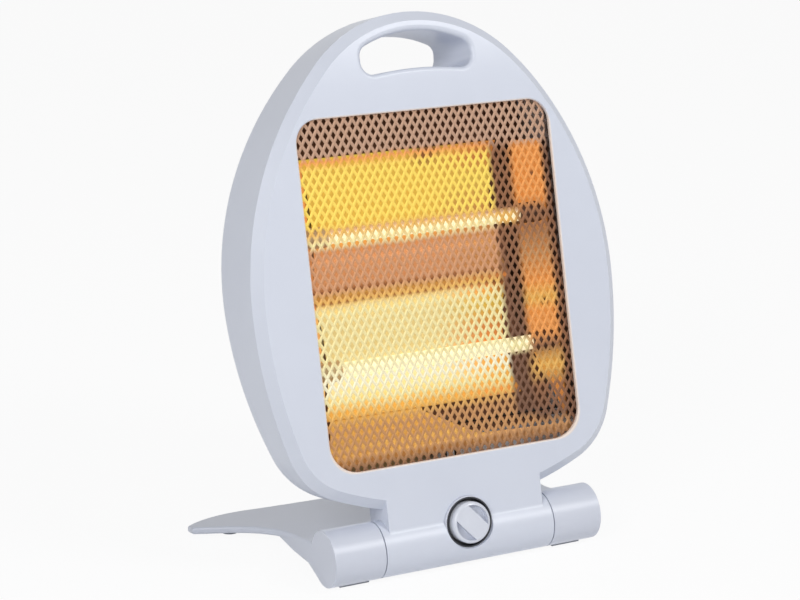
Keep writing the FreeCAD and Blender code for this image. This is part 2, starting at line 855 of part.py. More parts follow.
def terminal_stud(z):
    stud = rod(cap_x0 + cap_seat - stud_inside, tube_y, z, stud_r, stud_len, along_x)
    collar = rod(cap_x1, tube_y, z, stud_collar_r, stud_collar_t, along_x)
    return fused([stud, collar])


# Knob and switch
bezel_floor_y = face_y + bezel_depth - bezel_floor_t
switch_y = face_y + bezel_depth
knob_back_y = face_y + knob_back
knob_front_y = face_y - knob_front


def knob_bezel():
    front = face_y - bezel_proud
    dish = rod(0, front, knob_z, bezel_r, bezel_depth + bezel_proud, along_y)
    dish = rounded(dish, bezel_edge_r, lambda b: b.YMax < front + 0.01)
    room = rod(0, front, knob_z, bezel_r - bezel_wall, bezel_floor_y - front, along_y)
    hole = rod(0, front, knob_z, shaft_r + bezel_shaft_gap, bezel_depth + bezel_proud, along_y)
    return dish.cut(room).cut(hole)


def knob():
    length = knob_back_y - knob_front_y
    body = rod(0, knob_front_y, knob_z, knob_r, length, along_y)
    body = rounded(body, knob_edge_r, lambda b: b.YMax < knob_front_y + 0.01)
    hollow = rod(0, knob_front_y, knob_z, knob_r - grip_rim, grip_depth, along_y)
    bar = block(-knob_r, knob_r, knob_front_y, knob_front_y + grip_depth, -grip_w / 2, grip_w / 2)
    bar.rotate(Vector(0, 0, 0), along_y, -grip_deg)
    bar.translate(Vector(0, 0, knob_z))
    body = body.cut(hollow.cut(bar))
    return body.cut(rod(0, knob_back_y - shaft_bite, knob_z, shaft_r, shaft_bite, along_y))


def switch_shaft():
    start = knob_back_y - shaft_bite
    return rod(0, start, knob_z, shaft_r, switch_y + switch_d / 2 - start, along_y)


def rotary_switch():
    half_w_box = switch_w / 2
    body = block(-half_w_box, half_w_box, switch_y, switch_y + switch_d, knob_z - switch_h / 2, knob_z + switch_h / 2)
    lug_y = switch_y + switch_d
    lugs = [
        block(x - lug_w / 2, x + lug_w / 2, lug_y - lug_t - lug_t, lug_y - lug_t,
              knob_z + switch_h / 2, knob_z + switch_h / 2 + lug_h)
        for x in switch_lug_xs
    ]
    shaft_room = rod(0, switch_y, knob_z, shaft_r + shaft_fit, switch_d / 2 + 2 * hole_gap, along_y)
    return fused([body] + lugs).cut(shaft_room)


switch_lug_xs = [-switch_w / 3, 0, switch_w / 3]


# Tip-over switch
def tip_bracket():
    half = cheek_gap / 2
    z0 = tip_pivot_z - cheek_half_h
    z1 = tip_pivot_z + cheek_half_h
    web = block(tip_x - half - cheek_t, tip_x + half + cheek_t, inner_face_y, inner_face_y + cheek_t, z0, z1)
    cheeks = []
    for x in (tip_x - half - cheek_t, tip_x + half):
        cheeks.append(block(x, x + cheek_t, inner_face_y, tip_pivot_y + cheek_half_h / 2, z0, z1))
    hole = rod(tip_x - cheek_gap, tip_pivot_y, tip_pivot_z, tip_pin_r, 2 * cheek_gap, along_x)
    return fused([web] + cheeks).cut(hole)


def tip_pin():
    half = cheek_gap / 2 + cheek_t
    return rod(tip_x - half, tip_pivot_y, tip_pivot_z, tip_pin_r, 2 * half, along_x)


def tip_weight():
    # Drawn hanging straight down once the housing leans back.
    x0 = tip_x - pendulum_t / 2
    hub = rod(x0, 0, 0, pendulum_hub_r, pendulum_t, along_x)
    arm = block(x0, x0 + pendulum_t, -pendulum_hub_r / 2, pendulum_hub_r / 2, -pendulum_len, 0)
    bob = rod(tip_x - bob_len / 2, 0, -pendulum_len, bob_r, bob_len, along_x)
    weight = fused([hub, arm, bob]).cut(rod(x0, 0, 0, tip_pin_r + pin_fit, pendulum_t, along_x))
    weight.rotate(Vector(0, 0, 0), along_x, lean_deg)
    weight.translate(Vector(0, tip_pivot_y, tip_pivot_z))
    return weight


def tip_microswitch():
    x0 = tip_x + cheek_gap / 2 + cheek_t
    y0 = inner_face_y + cheek_t
    body = block(x0, x0 + micro_w, y0, y0 + micro_d, tip_pivot_z - micro_h / 2, tip_pivot_z + micro_h / 2)
    return body.cut(rod(x0, tip_pivot_y, tip_pivot_z, 2 * tip_pin_r, micro_w, along_x))


# Thermal cut-out, terminal block and gland
shield_back_y = shield_y + sheet_t


def thermal_cutout():
    can = rod(0, shield_back_y, cutout_z, cutout_r, cutout_h, along_y)
    can = rounded(can, cutout_edge_r, lambda b: b.YMin > shield_back_y + cutout_h - 0.01)
    tabs = []
    for side in (-1, 1):
        x = side * cutout_tab_x
        top = shield_back_y + cutout_h
        tabs.append(block(x - lug_w / 2, x + lug_w / 2, top, top + lug_h, cutout_z - lug_t / 2, cutout_z + lug_t / 2))
    return fused([can] + tabs)


def terminal_block():
    y0 = shield_back_y
    body = block(-block_w / 2, block_w / 2, y0, y0 + block_d, block_z - block_h / 2, block_z + block_h / 2)
    wells = [
        rod(side * block_w / 3, y0 + block_d / 3, block_z, small_head_r, block_d, along_y) for side in (-1, 0, 1)
    ]
    return body.cut(Part.makeCompound(wells))


def cord_gland():
    seat = back_surface_y(gland_z) + gland_pad
    inner = back_surface_y(gland_z) - shell_wall
    barrel = rod(0, inner, gland_z, gland_r, seat - inner, along_y)
    flange = rod(0, seat, gland_z, gland_flange_r, gland_flange_t, along_y)
    flange = rounded(flange, gland_edge_r, lambda b: b.YMin > seat + gland_flange_t - 0.01)
    bore = rod(0, inner, gland_z, gland_bore_r, seat + gland_flange_t - inner, along_y)
    return fused([barrel, flange]).cut(bore)


def wire(points, bend_r):
    # Round wire of straight runs joined by tangent arcs.
    edges = []
    start = points[0]
    for before, corner, after in zip(points, points[1:], points[2:]):
        turn = math.pi - (before - corner).getAngle(after - corner)
        cut = bend_r * math.tan(turn / 2)
        arc_start = toward(corner, before, cut)
        arc_end = toward(corner, after, cut)
        inward = (toward(corner, before, 1) + toward(corner, after, 1)) * 0.5
        middle = toward(corner, inward, bend_r / math.cos(turn / 2) - bend_r)
        edges.append(Part.LineSegment(start, arc_start).toShape())
        edges.append(Part.Arc(arc_start, middle, arc_end).toShape())
        start = arc_end
    edges.append(Part.LineSegment(start, points[-1]).toShape())
    section = Part.Wire(Part.makeCircle(wire_r, points[0], points[1] - points[0]))
    return Part.Wire(edges).makePipeShell([section], True, False)


def lead_wires():
    # From the right-hand studs down beside the end plate to the switch, and a link between the left-hand studs.
    stud_x = cap_x0 + cap_seat - stud_inside + stud_len
    run_x = end_front_x + end_flange
    low_z = window_z0 + wire_lift
    lug_z = knob_z + switch_h / 2 + lug_h
    lug_y = switch_y + switch_d - 1.5 * lug_t
    wires = []
    for z, lug_x, spread in ((tube_z_up, switch_lug_xs[2], 0.0), (tube_z_low, switch_lug_xs[1], wire_spread)):
        route = [
            Vector(stud_x, tube_y, z),
            Vector(run_x + spread, tube_y, z),
            Vector(run_x + spread, tube_y, low_z + spread),
            Vector(lug_x, lug_y, low_z + spread),
            Vector(lug_x, lug_y, lug_z),
        ]
        wires.append(wire(route, wire_bend_r))
    link = [
        Vector(-stud_x, tube_y, tube_z_up),
        Vector(-run_x, tube_y, tube_z_up),
        Vector(-run_x, tube_y, tube_z_low),
        Vector(-stud_x, tube_y, tube_z_low),
    ]
    wires.append(wire(link, wire_bend_r))
    return wires


# Foot
waist_x = barrel_half - plate_side_inset
flare_turn = math.radians(flare_deg)
flare_end = Vector(
    waist_x + flare_r * (1 - math.cos(flare_turn)), flare_start_y + flare_r * math.sin(flare_turn), 0
)
flare_heading = Vector(math.sin(flare_turn), math.cos(flare_turn), 0)
lobe_c = Vector(waist_x + lobe_out, lobe_back_y - lobe_r, 0)
plate_fall = (plate_rise + barrel_r - plate_t) / lobe_back_y


def plate_top(y):
    return plate_rise - plate_fall * y


def foot_tip():
    # Where the straight end of the flared side meets the round rear lobe.
    inside = flare_end - lobe_c
    ahead = inside.dot(flare_heading)
    return flare_end + flare_heading * (math.sqrt(ahead**2 + lobe_r**2 - inside.dot(inside)) - ahead)


def foot_plan():
    # Sides straight at the barrel, flaring to pointed tips, with a round lobe at each side of a hollow rear edge.
    flare_c = Vector(waist_x + flare_r, flare_start_y, 0)
    rear_mid_y = lobe_back_y - rear_hollow
    ahead = lobe_c.y - rear_mid_y
    rear_r = (lobe_c.x**2 + ahead**2 - lobe_r**2) / (2 * (lobe_r + ahead))
    rear_c = Vector(0, rear_mid_y + rear_r, 0)
    lobe_end = toward(lobe_c, rear_c, lobe_r)
    flare_start = Vector(waist_x, flare_start_y, 0)
    corner = Vector(waist_x, 0, 0)
    tip = foot_tip()
    right = [
        Part.LineSegment(corner, flare_start).toShape(),
        arc_between(flare_c, flare_start, flare_end),
        Part.LineSegment(flare_end, tip).toShape(),
        arc_between(lobe_c, tip, lobe_end),
    ]
    left = [edge.mirror(Vector(0, 0, 0), along_x) for edge in right]
    rear = arc_between(rear_c, lobe_end, Vector(-lobe_end.x, lobe_end.y, 0))
    front = Part.LineSegment(Vector(-waist_x, 0, 0), corner).toShape()
    return Part.Wire(Part.__sortEdges__(right + [rear] + left + [front]))


def plate_slab(top_extra, low_extra):
    y0 = -overrun
    y1 = lobe_back_y + overrun
    points = [
        Vector(-reach, y0, plate_top(y0) + top_extra),
        Vector(-reach, y1, plate_top(y1) + top_extra),
        Vector(-reach, y1, plate_top(y1) - plate_t - low_extra),
        Vector(-reach, y0, plate_top(y0) - plate_t - low_extra),
    ]
    return prism(points, Vector(2 * reach, 0, 0))


def foot():
    plan = Part.Face(foot_plan()).extrude(Vector(0, 0, 4 * barrel_r))
    plan.translate(Vector(0, 0, -2 * barrel_r))
    plan = rounded(plan, tip_r, lambda b: upright(b) and abs(b.Center.x) > flare_end.x + tip_r)
    plate = plan.common(plate_slab(0, 0)).Solids[0]
    plate = rounded(plate, plate_edge_r, lambda b: b.YMax > plate_edge_r and not upright(b))
    barrel = rod(foot_inner_x, 0, 0, barrel_r, barrel_half - end_cap_t - foot_inner_x, along_x)
    web_x0 = waist_x - side_web_t
    web_low = [
        Vector(web_x0, 0, plate_top(0) - plate_t / 2),
        Vector(web_x0, side_web_front_y, -math.sqrt(barrel_r**2 - side_web_front_y**2)),
        Vector(web_x0, side_web_knee_y, -side_web_drop),
        Vector(web_x0, flare_start_y, -side_web_drop),
        Vector(web_x0, side_web_back_y, plate_top(side_web_back_y) - plate_t / 2),
        Vector(web_x0, flare_start_y, plate_top(flare_start_y) - plate_t / 2),
    ]
    web = prism(web_low, Vector(side_web_t, 0, 0))
    body = fused([plate] + both_sides(barrel) + both_sides(web))
    swept = rod(-foot_inner_x, 0, 0, barrel_r + hub_clearance, 2 * foot_inner_x, along_x)
    ahead_of_hub = block(-foot_inner_x, foot_inner_x, -barrel_r, 0, -barrel_r, 2 * barrel_r)
    body = body.cut(swept).cut(ahead_of_hub)
    room = rod(foot_inner_x + hinge_wall, 0, 0, barrel_r - barrel_wall, barrel_half, along_x)
    bore = rod(foot_inner_x - seam_gap, 0, 0, bolt_r + bolt_fit, hinge_wall + 2 * seam_gap, along_x)
    cap_room = rod(barrel_half - end_cap_t, 0, 0, barrel_r, 2 * end_cap_t, along_x)
    for cutter in both_sides(room) + both_sides(bore) + both_sides(cap_room):
        body = body.cut(cutter)
    return body


def upright(b):
    return b.XLength < 0.01 and b.YLength < 0.01


def end_cap():
    # Right-hand end face of the foot's barrel with a plug ring that fits inside it.
    disc = rod(barrel_half - end_cap_t, 0, 0, barrel_r, end_cap_t, along_x)
    disc = rounded(disc, end_cap_edge, lambda b: b.XMin > barrel_half - 0.01)
    plug_r = barrel_r - barrel_wall - cap_fit
    plug = rod(barrel_half - end_cap_t - cap_plug_len, 0, 0, plug_r, cap_plug_len, along_x)
    plug = plug.cut(
        rod(barrel_half - end_cap_t - cap_plug_len, 0, 0, plug_r - barrel_wall, cap_plug_len, along_x)
    )
    return fused([disc, plug])


def hinge_bolt():
    head = Part.Face(hexagon(foot_inner_x + hinge_wall, bolt_head_r)).extrude(Vector(bolt_head_h, 0, 0))
    inner_end = hub_half - hinge_wall - washer_gap - washer_t - nut_t - bolt_end
    shank = rod(inner_end, 0, 0, bolt_r, foot_inner_x + hinge_wall - inner_end, along_x)
    return fused([head, shank])


def hexagon(x, across_r):
    corners = [
        Vector(x, across_r * math.cos(math.radians(60 * i)), across_r * math.sin(math.radians(60 * i)))
        for i in range(7)
    ]
    return Part.makePolygon(corners)


def friction_washer():
    start = hub_half - hinge_wall - washer_gap - washer_t
    ring = rod(start, 0, 0, washer_r, washer_t, along_x)
    return ring.cut(rod(start, 0, 0, bolt_r, washer_t, along_x))


def hinge_nut():
    start = hub_half - hinge_wall - washer_gap - washer_t - nut_t
    body = Part.Face(hexagon(start, nut_r)).extrude(Vector(nut_t, 0, 0))
    return body.cut(rod(start, 0, 0, bolt_r, nut_t, along_x))


def foot_pads():
    strip = block(
        foot_inner_x + pad_inset, barrel_half - end_cap_t - pad_inset, -pad_half_w, pad_half_w,
        floor_z, floor_z + pad_h + pad_bite,
    )
    strip = strip.cut(rod(0, 0, 0, barrel_r, barrel_len, along_x))
    rear_x = lobe_c.x + rear_pad_out
    rear_y = lobe_back_y - rear_pad_inset
    rear = rod(rear_x, rear_y, floor_z, rear_pad_r, plate_top(0) - floor_z, along_z)
    rear = rear.cut(plate_slab(2 * barrel_r, 0))
    return both_sides(strip) + both_sides(rear)


def casing_screws():
    seat = parting_y + screw_seat
    return [screw(x, seat, z, screw_r, screw_len, screw_head_r, screw_head_h) for x, z in boss_spots]


foot_nodes = {"foot": foot(), "foot_pads": foot_pads()}
housing_nodes = {
    "front_shell": front_shell(),
    "rear_shell": rear_shell(),
    "grille": grille(),
    "grille_clips": grille_clips(),
    "grille_clip_screws": clip_screws(),
    "reflector": reflector(),
    "reflector_posts": reflector_posts(),
    "heat_shield": heat_shield(),
    "upper_quartz_tube": quartz_tube(tube_z_up),
    "lower_quartz_tube": quartz_tube(tube_z_low),
    "upper_heating_coil": heating_coil(tube_z_up),
    "lower_heating_coil": heating_coil(tube_z_low),
    "end_plate_screws": end_plate_screws(),
    "heat_shield_screws": shield_screws(),
    "casing_screws": casing_screws(),
    "knob_bezel": knob_bezel(),
    "control_knob": knob(),
    "switch_shaft": switch_shaft(),
    "rotary_switch": rotary_switch(),
    "tip_over_bracket": tip_bracket(),
    "tip_over_pin": tip_pin(),
    "tip_over_weight": tip_weight(),
    "tip_over_microswitch": tip_microswitch(),
    "thermal_cutout": thermal_cutout(),
    "terminal_block": terminal_block(),
    "cord_gland": cord_gland(),
    "lead_wires": lead_wires(),
}
for side, turned in (("right", lambda s: s), ("left", mirrored)):
    foot_nodes[side + "_barrel_cap"] = turned(end_cap())
    foot_nodes[side + "_hinge_bolt"] = turned(hinge_bolt())
    foot_nodes[side + "_friction_washer"] = turned(friction_washer())
    foot_nodes[side + "_hinge_nut"] = turned(hinge_nut())
    housing_nodes[side + "_end_plate"] = turned(end_plate())
    for level, tube_z in (("upper", tube_z_up), ("lower", tube_z_low)):
        housing_nodes[level + "_" + side + "_ceramic_cap"] = turned(ceramic_cap(tube_z))
        housing_nodes[level + "_" + side + "_terminal_stud"] = turned(terminal_stud(tube_z))


def as_shape(pieces):
    return Part.makeCompound(pieces) if isinstance(pieces, list) else pieces


on_axis = Placement(Vector(0, hub_out, 0), Rotation())
leaned = Placement(Vector(0, 0, 0), Rotation(along_x, -lean_deg)).multiply(on_axis)
placed = {}
for name, pieces in foot_nodes.items():
    placed[name] = as_shape(pieces).copy()
for name, pieces in housing_nodes.items():
    placed[name] = as_shape(pieces).copy()
    placed[name].Placement = leaned.multiply(placed[name].Placement)

# The origin is on the floor, under the middle of the whole object's box.
whole = Part.makeCompound(list(placed.values())).optimalBoundingBox(False, False)
lift = Vector(-whole.Center.x, -whole.Center.y, -floor_z)
for name, shape in placed.items():
    shape.translate(lift)
    shape.exportStep("parts/" + name + ".step")

report_coil_gap()
print("pieces:", len(placed), "box:", [round(v, 2) for v in (whole.XLength, whole.YLength, whole.ZLength)])
print("hinge axis at", [round(v, 3) for v in lift])
for name, spot in (("knob", Vector(0, face_y, knob_z)), ("tip pin", Vector(tip_x, tip_pivot_y, tip_pivot_z))):
    print(name, "at", [round(v, 3) for v in leaned.multVec(spot) + lift])
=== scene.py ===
import json
import math

import bmesh
import bpy
from mathutils import Matrix, Vector


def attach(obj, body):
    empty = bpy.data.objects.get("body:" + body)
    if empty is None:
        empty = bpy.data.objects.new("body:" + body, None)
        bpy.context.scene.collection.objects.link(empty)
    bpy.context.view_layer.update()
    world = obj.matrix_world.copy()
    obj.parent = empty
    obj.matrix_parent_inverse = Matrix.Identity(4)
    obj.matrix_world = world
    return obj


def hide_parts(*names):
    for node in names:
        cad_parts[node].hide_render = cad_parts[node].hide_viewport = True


mm = 0.001

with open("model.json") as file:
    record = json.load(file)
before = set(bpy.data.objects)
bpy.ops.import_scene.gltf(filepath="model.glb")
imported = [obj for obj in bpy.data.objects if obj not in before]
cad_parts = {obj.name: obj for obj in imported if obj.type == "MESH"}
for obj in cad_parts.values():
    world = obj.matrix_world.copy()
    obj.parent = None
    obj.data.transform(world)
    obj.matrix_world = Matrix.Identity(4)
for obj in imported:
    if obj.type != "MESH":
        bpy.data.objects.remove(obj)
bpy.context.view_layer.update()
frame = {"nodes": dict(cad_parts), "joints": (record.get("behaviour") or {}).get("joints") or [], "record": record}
nodes = frame["nodes"]
joints = {joint["name"]: joint for joint in frame["joints"]}
tilt = joints["housing_tilt"]

# The housing is drawn upright, with the hinge axis a little in front of its own zero, and is then
# leaned back about that axis.
hubOut = 4.0 * mm
leanAngle = math.radians(-tilt["range_deg"][0])
onHinge = Matrix.Translation(tilt["pos_m"])
lean = onHinge @ Matrix.Rotation(-leanAngle, 4, "X") @ Matrix.Translation((0, hubOut, 0))
# Settings of a Mapping node that stands the leaned housing upright again
upright = lean.inverted()
standUp = {"Location": upright.translation, "Rotation": upright.to_euler()}
print("frame loaded:", len(nodes), "nodes")


def linear(hexColour):
    # The sRGB curve, from a written colour to the light that it stands for
    channels = [int(hexColour[i:i + 2], 16) / 255 for i in (1, 3, 5)]
    return [c / 12.92 if c <= 0.04045 else ((c + 0.055) / 1.055) ** 2.4 for c in channels] + [1.0]


def addNode(tree, kind, inputs, **settings):
    node = tree.nodes.new("ShaderNode" + kind)
    for name, value in settings.items():
        setattr(node, name, value)
    for socket, value in inputs.items():
        if isinstance(value, bpy.types.NodeSocket):
            tree.links.new(value, node.inputs[socket])
        else:
            node.inputs[socket].default_value = value
    return node


# Mix has number and colour sockets of the same names, so they go by their places
numberA, numberB, numberOut = 2, 3, 0
colourA, colourB, colourOut = 6, 7, 2


def startFinish(name, fixed):
    material = bpy.data.materials.new(name)
    material.use_nodes = True
    tree = material.node_tree
    shader = tree.nodes["Principled BSDF"]
    for socket, value in fixed.items():
        shader.inputs[socket].default_value = value
    where = addNode(tree, "TexCoord", {}).outputs["Object"]
    return material, tree, shader, where


def feedShader(tree, shader, sockets):
    for name, socket in sockets.items():
        tree.links.new(socket, shader.inputs[name])


acrossFace = (1, 0, 1)  # keeps width and height and drops depth


def paintedShadeWell(tree, where, colour, shadeWell):
    # Painted shade: a dark well inside the ring's rim, for the shadow in the gap round the knob,
    # measured from the knob's axis
    raised = addNode(tree, "Mapping", {"Vector": where, **standUp}).outputs[0]
    flat = addNode(tree, "VectorMath", {0: raised, 1: acrossFace}, operation="MULTIPLY")
    axis = (0, 0, shadeWell["axisHigh"] * mm)
    radius = addNode(tree, "VectorMath", {0: flat.outputs[0], 1: axis}, operation="DISTANCE")
    inside = addNode(tree, "MapRange", {
        "Value": radius.outputs["Value"], "From Min": shadeWell["rimFrom"] * mm,
        "From Max": (shadeWell["rimFrom"] + shadeWell["fade"]) * mm, "To Min": 1.0, "To Max": 0.0})
    return addNode(tree, "Mix", {
        "Factor": inside.outputs[0], colourA: colour, colourB: linear(shadeWell["colour"])},
        data_type="RGBA").outputs[colourOut]


def windowRimGlowAndShade(tree, where, colour, rim):
    # Painted light: the window's rounded edge, tinted as if warmed by the glow behind it
    raised = addNode(tree, "Mapping", {"Vector": where, **standUp}).outputs[0]
    middle = (0, 0, (rim["low"] + rim["high"]) / 2 * mm)
    halfHigh = (rim["high"] - rim["low"]) / 2
    straight = ((rim["halfWide"] - rim["corner"]) * mm, 0, (halfHigh - rim["corner"]) * mm)
    centred = addNode(tree, "VectorMath", {0: raised, 1: middle}, operation="SUBTRACT")
    folded = addNode(tree, "VectorMath", {0: centred.outputs[0]}, operation="ABSOLUTE")
    past = addNode(tree, "VectorMath", {0: folded.outputs[0], 1: straight}, operation="SUBTRACT")
    outer = addNode(tree, "VectorMath", {0: past.outputs[0], 1: (0, 0, 0)}, operation="MAXIMUM")
    level = addNode(tree, "VectorMath", {0: outer.outputs[0], 1: acrossFace}, operation="MULTIPLY")
    reach = addNode(tree, "VectorMath", {0: level.outputs[0]}, operation="LENGTH").outputs["Value"]
    warmFull, warmEnd = [(rim["corner"] + out) * mm for out in rim["warm"]]
    warm = addNode(tree, "MapRange", {
        "Value": reach, "From Min": warmFull, "From Max": warmEnd, "To Min": 1.0, "To Max": 0.0})
    warmed = addNode(tree, "Mix", {
        "Factor": warm.outputs[0], colourA: colour, colourB: linear(rim["colour"])},
        data_type="RGBA").outputs[colourOut]
    # Painted shade: dark brown on the inside, behind the mesh, where the ledge lies in shadow
    depth = addNode(tree, "SeparateXYZ", {"Vector": raised}).outputs["Y"]
    behind = addNode(tree, "MapRange", {
        "Value": depth, "From Min": (rim["inside"] - rim["insideFade"]) * mm,
        "From Max": rim["inside"] * mm})
    ledgeFull, ledgeEnd = [(rim["corner"] + out) * mm for out in rim["ledge"]]
    near = addNode(tree, "MapRange", {
        "Value": reach, "From Min": ledgeFull, "From Max": ledgeEnd, "To Min": 1.0, "To Max": 0.0})
    both = addNode(tree, "Math", {0: behind.outputs[0], 1: near.outputs[0]}, operation="MULTIPLY")
    return addNode(tree, "Mix", {
        "Factor": both.outputs[0], colourA: warmed, colourB: linear(rim["ledgeShade"])},
        data_type="RGBA").outputs[colourOut]


moulding = {"ior": 1.53, "cloudDetail": 3.0, "grainDetail": 2.0, "glossSwing": 0.06,
            "depthShare": 0.1}


def moulded(name, look):
    # Injection-moulded plastic: an even colour with faint flow clouds, and an eroded tool texture
    # in the gloss. The real texture is too fine to show, so it is drawn coarser.
    fixed = {"IOR": moulding["ior"], "Metallic": 0.0}
    material, tree, shader, where = startFinish(name, fixed)
    clouds = addNode(tree, "TexNoise", {
        "Vector": where, "Scale": 1 / (look["cloud"] * mm), "Detail": moulding["cloudDetail"]})
    grain = addNode(tree, "TexNoise", {
        "Vector": where, "Scale": 1 / (look["grain"] * mm),
        "Detail": moulding["grainDetail"]}).outputs["Fac"]
    colour = addNode(tree, "Mix", {
        "Factor": clouds.outputs["Fac"], colourA: linear(look["deep"]),
        colourB: linear(look["pale"])}, data_type="RGBA").outputs[colourOut]
    if "shadeWell" in look:
        colour = paintedShadeWell(tree, where, colour, look["shadeWell"])
    if "reveal" in look:
        colour = windowRimGlowAndShade(tree, where, colour, look["reveal"])
    gloss = addNode(tree, "MapRange", {
        "Value": grain, "To Min": look["rough"] - moulding["glossSwing"],
        "To Max": look["rough"] + moulding["glossSwing"]})
    bump = addNode(tree, "Bump", {
        "Height": grain, "Strength": look["bump"],
        "Distance": look["grain"] * mm * moulding["depthShare"]})
    feedShader(tree, shader, {
        "Base Color": colour, "Roughness": gloss.outputs[0], "Normal": bump.outputs[0]})
    return material


rolling = {"streakWide": 1.0 * mm, "streakDetail": 3.0, "streakDeep": 0.05 * mm,
           "glossSwing": 0.08, "cloudDetail": 2.0, "deepUpTo": 0.35, "paleFrom": 0.65}


def rollMarks(tree, where, look):
    # Lines left by the rolls, drawn wider than real ones, which are too fine to show
    along = addNode(tree, "Mapping", {"Vector": where, "Scale": look["streak"]})
    streaks = addNode(tree, "TexNoise", {
        "Vector": along.outputs[0], "Scale": 1 / rolling["streakWide"],
        "Detail": rolling["streakDetail"]}).outputs["Fac"]
    gloss = addNode(tree, "MapRange", {
        "Value": streaks, "To Min": look["rough"] - rolling["glossSwing"],
        "To Max": look["rough"] + rolling["glossSwing"]})
    bump = addNode(tree, "Bump", {
        "Height": streaks, "Strength": look["bump"], "Distance": rolling["streakDeep"]})
    return {"Roughness": gloss.outputs[0], "Normal": bump.outputs[0]}


def rolled(name, look):
    # Rolled or drawn metal: streaks along one axis, with slow changes of tint from the plating
    material, tree, shader, where = startFinish(name, {"Metallic": 1.0})
    clouds = addNode(tree, "TexNoise", {
        "Vector": where, "Scale": 1 / (look["cloud"] * mm), "Detail": rolling["cloudDetail"]})
    tint = addNode(tree, "ValToRGB", {"Fac": clouds.outputs["Fac"]})
    deep, pale = tint.color_ramp.elements
    deep.position, deep.color = rolling["deepUpTo"], linear(look["deep"])
    pale.position, pale.color = rolling["paleFrom"], linear(look["pale"])
    feedShader(tree, shader, {"Base Color": tint.outputs[0], **rollMarks(tree, where, look)})
    return material


speckling = {"cloudDetail": 4.0, "glossSwing": 0.1, "speckDeep": 0.1 * mm}


def speckled(name, look):
    # Fired ceramic and rubber: matt, with small specks and a grain that catches the light
    material, tree, shader, where = startFinish(name, {"Metallic": 0.0, "IOR": look["ior"]})
    specks = addNode(tree, "TexVoronoi", {"Vector": where, "Scale": 1 / (look["speck"] * mm)})
    clouds = addNode(tree, "TexNoise", {
        "Vector": where, "Scale": 1 / (look["cloud"] * mm),
        "Detail": speckling["cloudDetail"]}).outputs["Fac"]
    shade = addNode(tree, "Math", {0: specks.outputs["Distance"], 1: clouds},
                    operation="MULTIPLY").outputs[0]
    colour = addNode(tree, "Mix", {
        "Factor": shade, colourA: linear(look["deep"]), colourB: linear(look["pale"])},
        data_type="RGBA")
    gloss = addNode(tree, "MapRange", {
        "Value": clouds, "To Min": look["rough"] - speckling["glossSwing"],
        "To Max": look["rough"] + speckling["glossSwing"]})
    bump = addNode(tree, "Bump", {
        "Height": shade, "Strength": look["bump"], "Distance": speckling["speckDeep"]})
    feedShader(tree, shader, {
        "Base Color": colour.outputs[colourOut], "Roughness": gloss.outputs[0],
        "Normal": bump.outputs[0]})
    return material


heating = {"ior": 1.46, "rippleDetail": 2.0, "crownFade": 1}


def glowing(name, look):
    # Lit from inside: even along the middle, dying away before each end, and dull above the coil,
    # which lies low
    fixed = {"Roughness": look["rough"], "IOR": heating["ior"]}
    material, tree, shader, where = startFinish(name, fixed)
    raised = addNode(tree, "Mapping", {"Vector": where, **standUp})
    split = addNode(tree, "SeparateXYZ", {"Vector": raised.outputs[0]})
    reach = addNode(tree, "Math", {0: split.outputs["X"]}, operation="ABSOLUTE")
    fade = addNode(tree, "MapRange", {
        "Value": reach.outputs[0], "From Min": look["bright"] * mm,
        "From Max": look["dark"] * mm}, interpolation_type="SMOOTHSTEP")
    crown = addNode(tree, "MapRange", {
        "Value": split.outputs["Z"], "From Min": (look["crown"] - heating["crownFade"]) * mm,
        "From Max": (look["crown"] + heating["crownFade"]) * mm})
    dull = addNode(tree, "Math", {0: fade.outputs[0], 1: crown.outputs[0]},
                   operation="MAXIMUM").outputs[0]
    ripple = addNode(tree, "TexNoise", {
        "Vector": where, "Scale": 1 / (look["ripple"] * mm), "Detail": heating["rippleDetail"]})
    light = addNode(tree, "Mix", {
        "Factor": dull, colourA: linear(look["hot"]), colourB: linear(look["cool"])},
        data_type="RGBA")
    surface = addNode(tree, "Mix", {
        "Factor": ripple.outputs["Fac"], colourA: linear(look["deep"]),
        colourB: linear(look["pale"])}, data_type="RGBA")
    power = addNode(tree, "MapRange", {
        "Value": dull, "To Min": look["power"], "To Max": look["endPower"]})
    feedShader(tree, shader, {
        "Base Color": surface.outputs[colourOut], "Emission Color": light.outputs[colourOut],
        "Emission Strength": power.outputs[0]})
    return material


# Temper colours of hot sheet metal, from hardly touched to blackened, and taupe where it is cool. The
# same tints also stand for painted light and shade on the sheets by the tubes
temperAndPaintedLight = {"cream": "#E6E0C4", "straw": "#E0D29A", "gold": "#E8CA5C", "amber": "#D8A858",
          "orange": "#DC9450", "rose": "#C08C66", "bronze": "#B48456", "brown": "#8A5E40",
          "umber": "#74523E", "soot": "#32241E", "taupe": "#B8947C"}

bandingAndGlow = {"cloudDetail": 2.0, "glowFade": 4}


def temperAndLightBands(tree, height, bands):
    heights = sorted(bands)
    low, high = heights[0], heights[-1]
    place = addNode(tree, "MapRange", {
        "Value": height, "From Min": low * mm, "From Max": high * mm})
    ramp = addNode(tree, "ValToRGB", {"Fac": place.outputs[0]})
    stops = ramp.color_ramp.elements
    stops.remove(stops[0])
    for z in heights:
        at = (z - low) / (high - low)
        tint = stops[0] if z == low else stops.new(at)
        tint.position = at
        tint.color = linear(temperAndPaintedLight[bands[z]])
    return ramp.outputs[0]


